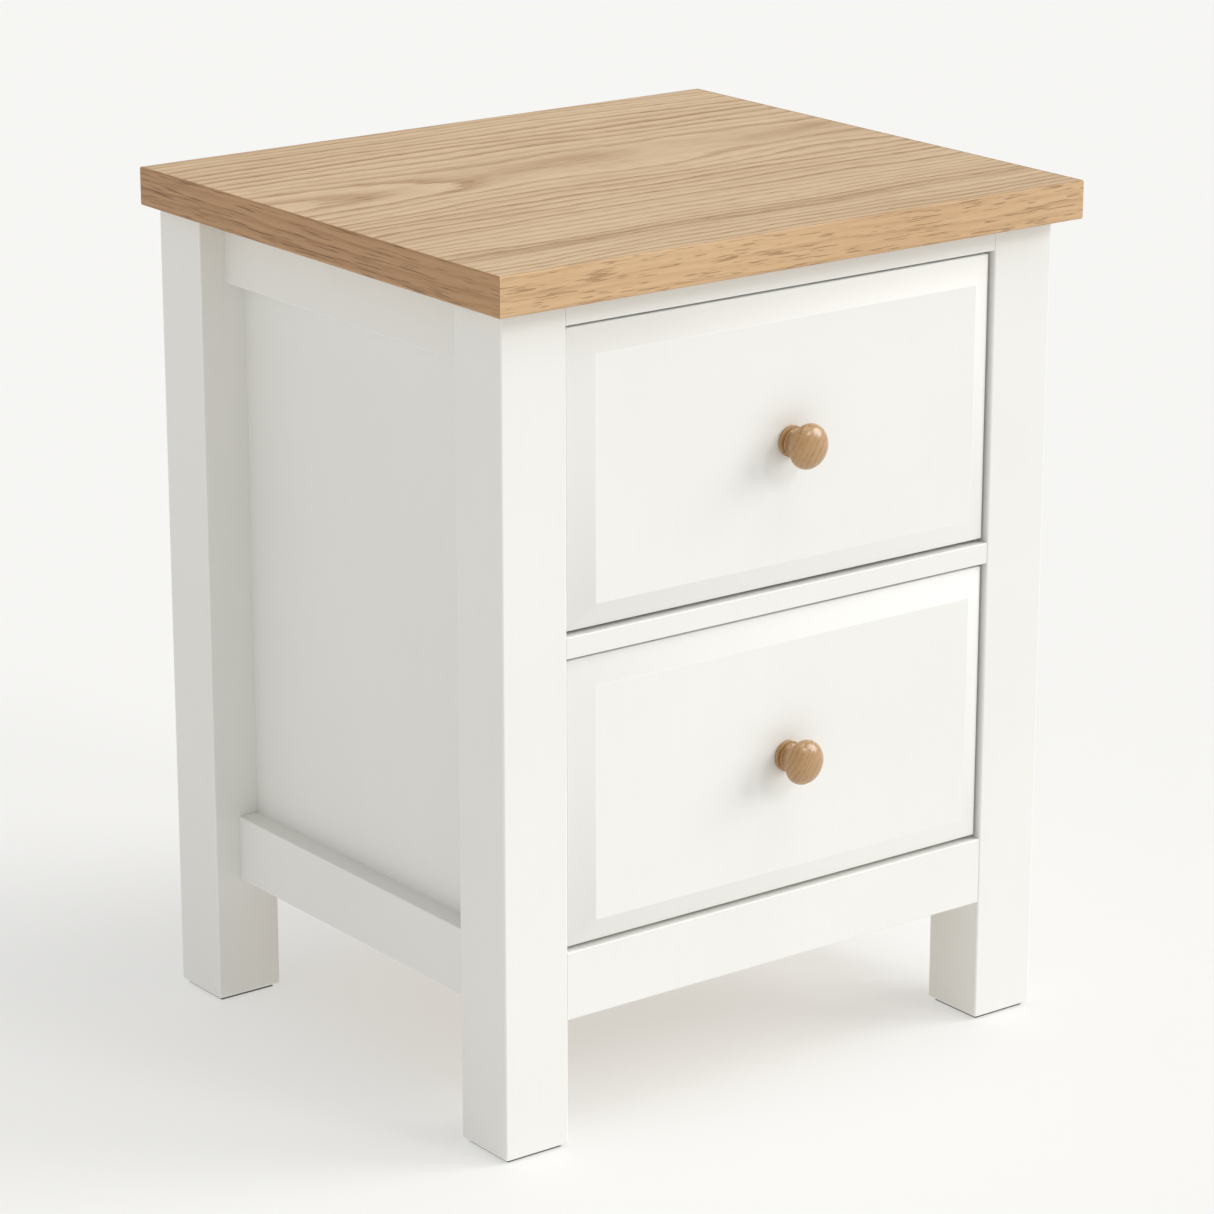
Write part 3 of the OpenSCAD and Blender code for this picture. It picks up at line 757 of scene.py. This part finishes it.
# %% Measure the CAD screws
def shells(node):
    """The separate solids of a CAD node, each as a list of corner points."""
    solid = bmesh.new()
    solid.from_mesh(nodes[node].data)
    bmesh.ops.remove_doubles(solid, verts=solid.verts, dist=MERGE)
    left, found = set(solid.verts), []
    while left:
        todo, shell = [left.pop()], []
        while todo:
            corner = todo.pop()
            shell.append(corner.co.copy())
            for edge in corner.link_edges:
                other = edge.other_vert(corner)
                if other in left:
                    left.remove(other)
                    todo.append(other)
        found.append(shell)
    solid.free()
    return sorted(found, key=lambda shell: tuple(round(c, 5) for c in sum(shell, Vector()) / len(shell)))


def measured_screw(shell):
    """Where a screw's head sits, which way it faces, and its sizes."""
    low = Vector([min(p[k] for p in shell) for k in range(3)])
    high = Vector([max(p[k] for p in shell) for k in range(3)])
    axis = max(range(3), key=lambda k: high[k] - low[k])
    middle = (low + high) / 2

    def off_line(p):
        return math.hypot(*[p[k] - middle[k] for k in range(3) if k != axis])

    head_radius = max(off_line(p) for p in shell)
    seat = next(p[axis] for p in shell if off_line(p) > head_radius - NEAR)
    way = 1 if seat > middle[axis] else -1
    head_end, tip_end = (high[axis], low[axis]) if way > 0 else (low[axis], high[axis])
    behind = [p for p in shell if way * (seat - p[axis]) > SHORTEST]
    facing, seat_point = Vector(), middle.copy()
    facing[axis], seat_point[axis] = way, seat
    sizes = {
        "Head Diameter": 2 * head_radius,
        "Head Height": abs(head_end - seat),
        "Shank Diameter": 2 * max(off_line(p) for p in behind),
        "Length": abs(seat - tip_end),
    }
    return seat_point, facing, sizes


example = measured_screw(shells("top_screws")[0])
print("a screw for the top:", {k: round(v * 1000, 2) for k, v in example[2].items()})

# %% The screw tree
FACING = "facing"
RECESS_LENGTH, RECESS_WIDTH = 0.56, 0.13
RECESS_MIDDLE = 0.85
SCREW_SIZES = [
    ("Head Diameter", "Float", 0.008),
    ("Head Height", "Float", 0.0024),
    ("Shank Diameter", "Float", 0.004),
    ("Length", "Float", 0.03),
    ("Thread Pitch", "Float", 0.0017),
]
screw_tree, screw_in, screw_out = new_group(
    "Cross-head screw",
    "GeometryNodeTree",
    [("Geometry", "Geometry", None)] + SCREW_SIZES,
    [("Geometry", "Geometry", None)],
)


def shifted(tree, geometry, **move):
    """Transform Geometry; move holds Translation, Rotation or Scale."""
    return add(tree, "GeometryNodeTransform", {"Geometry": geometry, **move}).outputs[0]


def upward(tree, height):
    return add(tree, "ShaderNodeCombineXYZ", {2: height}).outputs[0]


size = {name: screw_in.outputs[name] for name, _, _ in SCREW_SIZES}
head_radius = sums(screw_tree, "MULTIPLY", size["Head Diameter"], 0.5)
crown_slope = sums(screw_tree, "MULTIPLY", size["Head Height"], 1 / 3)
crown_radius = sums(screw_tree, "SUBTRACT", head_radius, crown_slope)
head = add(
    screw_tree,
    "GeometryNodeMeshCone",
    {"Vertices": 40, "Radius Top": crown_radius, "Radius Bottom": head_radius, "Depth": size["Head Height"]},
    fill_type="NGON",
).outputs["Mesh"]
recess_long = sums(screw_tree, "MULTIPLY", size["Head Diameter"], RECESS_LENGTH)
recess_wide = sums(screw_tree, "MULTIPLY", size["Head Diameter"], RECESS_WIDTH)
bars = []
for bar_size in ({0: recess_long, 1: recess_wide}, {0: recess_wide, 1: recess_long}):
    box_size = add(screw_tree, "ShaderNodeCombineXYZ", bar_size | {2: size["Head Height"]}).outputs[0]
    bars.append(add(screw_tree, "GeometryNodeMeshCube", {"Size": box_size}).outputs["Mesh"])
cut_at = upward(screw_tree, sums(screw_tree, "MULTIPLY", size["Head Height"], RECESS_MIDDLE))
recessed = add(screw_tree, "GeometryNodeMeshBoolean", {0: head}, operation="DIFFERENCE", solver="EXACT")
for bar in bars:
    screw_tree.links.new(shifted(screw_tree, bar, Translation=cut_at), recessed.inputs[1])
print("screw head:", len(screw_tree.nodes), "nodes so far")

# %% Core, tip and thread
THREAD_DEPTH = 0.22
TIP_SHARE = 1.1
TIP_BLUNT = 0.0002
PLAIN_NECK = 0.001


def lowered(geometry, length, share):
    """Moves a part of the screw down by a share of a length."""
    drop = upward(screw_tree, sums(screw_tree, "MULTIPLY", length, -share))
    return shifted(screw_tree, geometry, Translation=drop)


core_radius = sums(screw_tree, "MULTIPLY", size["Shank Diameter"], 0.5 - THREAD_DEPTH / 2)
tip_length = sums(screw_tree, "MULTIPLY", size["Shank Diameter"], TIP_SHARE)
core_length = sums(screw_tree, "SUBTRACT", size["Length"], tip_length)
core = add(
    screw_tree,
    "GeometryNodeMeshCylinder",
    {"Vertices": 20, "Radius": core_radius, "Depth": core_length},
    fill_type="NGON",
).outputs["Mesh"]
core = lowered(core, core_length, 0.5)
tip = add(
    screw_tree,
    "GeometryNodeMeshCone",
    {"Vertices": 20, "Radius Top": core_radius, "Radius Bottom": TIP_BLUNT, "Depth": tip_length},
    fill_type="NGON",
).outputs["Mesh"]
tip = lowered(tip, size["Length"], 1.0)
threaded = sums(screw_tree, "SUBTRACT", core_length, PLAIN_NECK)
turns = sums(screw_tree, "DIVIDE", threaded, size["Thread Pitch"])
ridge = sums(screw_tree, "MULTIPLY", size["Shank Diameter"], THREAD_DEPTH / 2)
spiral = add(
    screw_tree,
    "GeometryNodeCurveSpiral",
    {
        "Resolution": 12,
        "Rotations": turns,
        "Start Radius": core_radius,
        "End Radius": core_radius,
        "Height": threaded,
    },
).outputs[0]
ridge_shape = add(screw_tree, "GeometryNodeCurvePrimitiveCircle", {"Resolution": 4, "Radius": ridge})
thread = add(
    screw_tree,
    "GeometryNodeCurveToMesh",
    {"Curve": spiral, "Profile Curve": ridge_shape.outputs[0], "Fill Caps": True},
).outputs[0]
thread = lowered(thread, core_length, 1.0)
whole_screw = add(screw_tree, "GeometryNodeJoinGeometry")
for part in (recessed.outputs[0], core, tip, thread):
    screw_tree.links.new(part, whole_screw.inputs[0])
toward = add(screw_tree, "GeometryNodeInputNamedAttribute", {"Name": FACING}, data_type="FLOAT_VECTOR")
turned = add(screw_tree, "FunctionNodeAlignRotationToVector", {"Vector": toward.outputs[0]}, axis="Z")
at_points = {"Points": screw_in.outputs["Geometry"], "Instance": whole_screw.outputs[0]}
at_points["Rotation"] = turned.outputs[0]
placed = add(screw_tree, "GeometryNodeInstanceOnPoints", at_points).outputs[0]
real = add(screw_tree, "GeometryNodeRealizeInstances", {"Geometry": placed}).outputs[0]
plated = add(screw_tree, "GeometryNodeSetMaterial", {"Geometry": real, "Material": steel}).outputs[0]
screw_tree.links.new(plated, screw_out.inputs[0])
print("screw tree:", len(screw_tree.nodes), "nodes")

# %% Put the screws in
def points_object(name, places, ways=None):
    """A mesh of loose points, with a direction stored on each."""
    shape = bpy.data.meshes.new(name)
    shape.from_pydata(places, [], [])
    if ways:
        stored = shape.attributes.new(FACING, "FLOAT_VECTOR", "POINT")
        stored.data.foreach_set("vector", [c for way in ways for c in way])
    piece = bpy.data.objects.new(name, shape)
    scene.collection.objects.link(piece)
    return piece


def grown(piece, tree, values):
    """Runs a Geometry Nodes tree on the piece, with its inputs set by identifier, and bakes it."""
    modifier = piece.modifiers.new("shape", "NODES")
    modifier.node_group = tree
    identifiers = {s.name: s.identifier for s in tree.interface.items_tree if s.in_out == "INPUT"}
    for name, value in values.items():
        modifier[identifiers[name]] = value
    return baked(piece)


for name in sorted(n for n in nodes if n.endswith(("_screw", "_screws"))):
    found = [measured_screw(shell) for shell in shells(name)]
    holder = points_object(f"{name}_threaded", [f[0] for f in found], [f[1] for f in found])
    screws = stands_for(grown(holder, screw_tree, found[0][2]), name)
    print(screws.name, len(found), "screws,", len(screws.data.polygons), "faces")

# %% [markdown]
# ## Bearing balls and their cages
# Between each pair of channels runs a row of balls, held apart by a thin steel cage like a ladder.
# The outer rows sit in the rear half of the middle member and the inner rows in its front half,
# because that is where the channels still overlap when the drawer is fully out. One tree makes a
# row from a point at its middle: rungs and balls at an even pitch, and two rails.

# %% The row tree
ROW_SIZES = [
    ("Balls", "Int", 15),
    ("Pitch", "Float", 0.008),
    ("Ball Diameter", "Float", 0.0028),
    ("Cage Width", "Float", 0.0046),
    ("Cage Thickness", "Float", 0.0005),
]
row_tree, row_in, row_out = new_group(
    "Caged balls",
    "GeometryNodeTree",
    [("Geometry", "Geometry", None)] + ROW_SIZES,
    [("Geometry", "Geometry", None)],
)
row = {name: row_in.outputs[name] for name, _, _ in ROW_SIZES}
RUNG_SHARE = 0.3
RAIL_SHARE = 0.2
RAIL_PLACE = 0.4


def share(value, part):
    return sums(row_tree, "MULTIPLY", value, part)


def line_of(count, pitch):
    """Points along Y, with their middle at the origin."""
    back = share(sums(row_tree, "SUBTRACT", count, 1.0), share(pitch, -0.5))
    start = add(row_tree, "ShaderNodeCombineXYZ", {1: back}).outputs[0]
    step = add(row_tree, "ShaderNodeCombineXYZ", {1: pitch}).outputs[0]
    line = {"Count": count, "Start Location": start, "Offset": step}
    return add(row_tree, "GeometryNodeMeshLine", line).outputs[0]


def bar_of(wide, long):
    bar_size = add(row_tree, "ShaderNodeCombineXYZ", {0: wide, 1: long, 2: row["Cage Thickness"]}).outputs[0]
    return add(row_tree, "GeometryNodeMeshCube", {"Size": bar_size}).outputs["Mesh"]


def copies(points, instance):
    return add(row_tree, "GeometryNodeInstanceOnPoints", {"Points": points, "Instance": instance}).outputs[0]


ball_size = {"Radius": share(row["Ball Diameter"], 0.5), "Subdivisions": 3}
ball = add(row_tree, "GeometryNodeMeshIcoSphere", ball_size).outputs["Mesh"]
ball = add(row_tree, "GeometryNodeSetShadeSmooth", {"Geometry": ball}).outputs[0]
ball = add(row_tree, "GeometryNodeSetMaterial", {"Geometry": ball, "Material": ball_steel}).outputs[0]
rung = bar_of(row["Cage Width"], share(row["Pitch"], RUNG_SHARE))
rung_count = sums(row_tree, "ADD", row["Balls"], 1.0)
rail_long = share(rung_count, row["Pitch"])
rail_wide = share(row["Cage Width"], RAIL_SHARE)
rail_out = share(row["Cage Width"], RAIL_PLACE)
cage_parts = add(row_tree, "GeometryNodeJoinGeometry")
row_tree.links.new(copies(line_of(rung_count, row["Pitch"]), rung), cage_parts.inputs[0])
for way in (-1.0, 1.0):
    aside = add(row_tree, "ShaderNodeCombineXYZ", {0: share(rail_out, way)}).outputs[0]
    rail = shifted(row_tree, bar_of(rail_wide, rail_long), Translation=aside)
    row_tree.links.new(rail, cage_parts.inputs[0])
cage_steel = {"Geometry": cage_parts.outputs[0], "Material": steel}
cage = add(row_tree, "GeometryNodeSetMaterial", cage_steel).outputs[0]
one_row = add(row_tree, "GeometryNodeJoinGeometry")
for part in (copies(line_of(row["Balls"], row["Pitch"]), ball), cage):
    row_tree.links.new(part, one_row.inputs[0])
rows = copies(row_in.outputs["Geometry"], one_row.outputs[0])
real_rows = add(row_tree, "GeometryNodeRealizeInstances", {"Geometry": rows}).outputs[0]
row_tree.links.new(real_rows, row_out.inputs[0])
print("row tree:", len(row_tree.nodes), "nodes")

# %% Lay the rows of balls
SHEET = 0.0012
BALL_ROOM = 0.94


def row_middles(level):
    """The middles of the eight rows of balls of one drawer, and the room that a ball has."""
    middles = []
    for side in ("left", "right"):
        middle, inner = (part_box(f"{level}_{side}_{part}_slide") for part in ("middle", "inner"))
        centre = (middle[0] + middle[1]) / 2
        quarter = (middle[1].y - middle[0].y) / 4
        half, inner_half = ((box[1].z - box[0].z) / 2 for box in (middle, inner))
        room = half - inner_half - SHEET
        shared = (max(middle[0].x, inner[0].x) + min(middle[1].x, inner[1].x)) / 2
        for way in (-1, 1):
            middles.append((centre.x, centre.y + quarter, centre.z + way * (half + room / 2)))
            middles.append((shared, centre.y - quarter, centre.z + way * (inner_half + room / 2)))
    return middles, room


for level in ("upper", "lower"):
    middles, room = row_middles(level)
    holder = points_object(f"{level}_slide_balls", middles)
    balls = grown(holder, row_tree, {"Ball Diameter": room * BALL_ROOM})
    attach(balls, f"{level}_slide_middles")
    print(balls.name, len(middles), "rows,", len(balls.data.polygons), "faces")

# %% [markdown]
# ## Knobs
# A knob is turned on a lathe: the blank spins and the cutter follows an outline. The script does
# the same. An outline of radius against height, with a foot, a groove, a thin bead, a waisted
# neck and a domed head, is swept round in even steps, and the last ring closes on one point.

# %% The outline of a knob
LATHE_STEPS = 96
FOOT_SHARE = 20.5 / 29.5


def bow(centre, radii, start, end, steps):
    """Points on part of an ellipse, as (radius, height), between two angles in degrees."""
    angles = [math.radians(start + (end - start) * i / steps) for i in range(steps + 1)]
    return [(centre[0] + radii[0] * math.cos(a), centre[1] + radii[1] * math.sin(a)) for a in angles]


def knob_outline(head, length, foot):
    """From the middle of the foot out and up to the top of the dome, in metres."""
    mm = 0.001
    ease = 0.5 * mm
    foot_top = 2.6 * mm
    bead = 0.95 * mm
    bead_middle = (foot - 2.45 * mm, foot_top + 1.5 * mm)
    groove = foot - 3.3 * mm
    neck = foot - 4.1 * mm
    dome, back = length * 0.32, length * 0.2
    rim_height = length - dome
    neck_end = rim_height - back
    line = [(0.0, 0.0)]
    line += bow((foot - ease, ease), (ease, ease), -90, 0, 5)
    line += bow((foot - ease, foot_top - ease), (ease, ease), 0, 80, 5)
    line += [(groove + 0.7 * mm, foot_top + 0.12 * mm), (groove, foot_top + 0.5 * mm)]
    line += bow(bead_middle, (bead, bead), -75, 75, 12)
    cove_start = bead_middle[1] + bead + 0.25 * mm
    line += [
        (neck + (groove - neck) * (1 - t) ** 2, cove_start + (neck_end - 0.6 * mm - cove_start) * t)
        for t in (0.0, 0.12, 0.25, 0.4, 0.55, 0.7, 0.85, 1.0)
    ]
    line += [(neck + 0.25 * mm, neck_end), (neck + 0.75 * mm, neck_end + 0.35 * mm)]
    line += bow((0, rim_height), (head, back), -56, 0, 14)
    line += bow((0, rim_height), (head, dome), 6, 84, 13)
    return line + [(0.0, length)]


def knob_sizes(node):
    """The radius of the head, the length and the radius of the foot."""
    low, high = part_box(node)
    head = (high.x - low.x) / 2
    return head, high.y - low.y, head * FOOT_SHARE


print("outline:", len(knob_outline(*knob_sizes("upper_knob"))), "points")

# %% Turn the knobs
knob_oak = finish_with(
    "lacquered_oak_knob",
    oak,
    {
        "Pale": (0.445, 0.253, 0.093, 1),
        "Dark": (0.29, 0.14, 0.045, 1),
        "Pore Colour": (0.2, 0.085, 0.028, 1),
        "Ring Width": 0.0032,
        "Log Side": 0.1,
        "Log Depth": -0.35,
        "Wander": 0.012,
        "Ring Strength": 0.55,
        "Pores": 0.8,
        "Pore Width": 0.0004,
        "Pore Length": 0.005,
    },
    turn=(0, math.radians(57), 0),
    bump=0.15,
    Coat_Weight=1.0,
    Coat_Roughness=0.2,
)


def turned_knob(node):
    """Sweeps the outline round the knob's own line, which runs out to the front."""
    low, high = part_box(node)
    centre = (low + high) / 2
    solid = bmesh.new()
    rings = []
    for radius, height in knob_outline(*knob_sizes(node)):
        if radius == 0:
            rings.append([solid.verts.new((centre.x, high.y - height, centre.z))] * LATHE_STEPS)
            continue
        ring = []
        for step in range(LATHE_STEPS):
            turn = 2 * math.pi * step / LATHE_STEPS
            spot = (centre.x + radius * math.cos(turn), high.y - height, centre.z + radius * math.sin(turn))
            ring.append(solid.verts.new(spot))
        rings.append(ring)
    for inner, outer in zip(rings, rings[1:]):
        for step in range(LATHE_STEPS):
            after = (step + 1) % LATHE_STEPS
            corners = [inner[step], outer[step], outer[after], inner[after]]
            face = solid.faces.new(list(dict.fromkeys(corners)))
            face.smooth = True
    bmesh.ops.recalc_face_normals(solid, faces=solid.faces)
    shape = bpy.data.meshes.new(f"{node}_turned")
    solid.to_mesh(shape)
    solid.free()
    shape.materials.append(knob_oak)
    piece = bpy.data.objects.new(f"{node}_turned", shape)
    scene.collection.objects.link(piece)
    return stands_for(piece, node)


for name in ("upper_knob", "lower_knob"):
    knob = turned_knob(name)
    print(knob.name, len(knob.data.polygons), "faces")

# %% [markdown]
# ## Floor and light
# The floor is a wide pale sheet, so that no edge of it shows, and it belongs to the stage and not
# to the object. The light is high and soft: an even white surround fills every side, and one
# broad lamp from the right, in front and above gives the fronts their brightness and lays a
# faint shadow to the left and behind. A weak lamp above, one in front and a very wide one from
# the left lift the faces that it leaves dark.

# %% Floor
FLOOR_HALF = 14.0
FLOOR_GLOW = 0.425
floor_mesh = bpy.data.meshes.new("studio_floor")
corners = [(x * FLOOR_HALF, y * FLOOR_HALF, 0) for x, y in ((-1, -1), (1, -1), (1, 1), (-1, 1))]
floor_mesh.from_pydata(corners, [], [(0, 1, 2, 3)])
floor = bpy.data.objects.new("studio_floor", floor_mesh)
scene.collection.objects.link(floor)
floor_paint = bpy.data.materials.new("studio_floor")
floor_paint.use_nodes = True
floor_surface = next(n for n in floor_paint.node_tree.nodes if n.type == "BSDF_PRINCIPLED")
floor_surface.inputs["Base Color"].default_value = (0.505, 0.5, 0.485, 1)
floor_surface.inputs["Emission Color"].default_value = (1.0, 1.0, 0.99, 1)
floor_surface.inputs["Emission Strength"].default_value = FLOOR_GLOW
floor_surface.inputs["Roughness"].default_value = 0.8
floor_surface.inputs["Specular IOR Level"].default_value = 0.15
floor_mesh.materials.append(floor_paint)
print("floor", 2 * FLOOR_HALF, "m wide")

# %% Light
EVEN_LIGHT = 0.53
BACKDROP = 0.965
LAMP_AWAY = 3
world = bpy.data.worlds.new("studio")
scene.world = world
world.use_nodes = True
sky = world.node_tree
backdrop = next(n for n in sky.nodes if n.type == "BACKGROUND")
backdrop.inputs["Color"].default_value = (1.0, 1.0, 0.995, 1)
seen = add(sky, "ShaderNodeLightPath").outputs["Is Camera Ray"]
sky.links.new(between(sky, seen, 0, 1, EVEN_LIGHT, BACKDROP), backdrop.inputs["Strength"])


def soft_light(name, strength, spread, source):
    """A distant light as wide as a soft box, which shines from the given direction."""
    lamp = bpy.data.lights.new(name, "SUN")
    lamp.energy = strength
    lamp.angle = math.radians(spread)
    return aimed(bpy.data.objects.new(name, lamp), LOOK_AT + LAMP_AWAY * Vector(source).normalized())


soft_light("side_box", 1.58, 34, (0.785, -0.453, 0.423))
soft_light("top_box", 0.5, 30, (0.2, -0.25, 0.95))
soft_light("front_box", 0.36, 14, (0.29, -0.755, 0.585))
soft_light("left_box", 0.22, 60, (-0.9, -0.1, 0.3))
scene.view_settings.view_transform = "Standard"
print("light set")
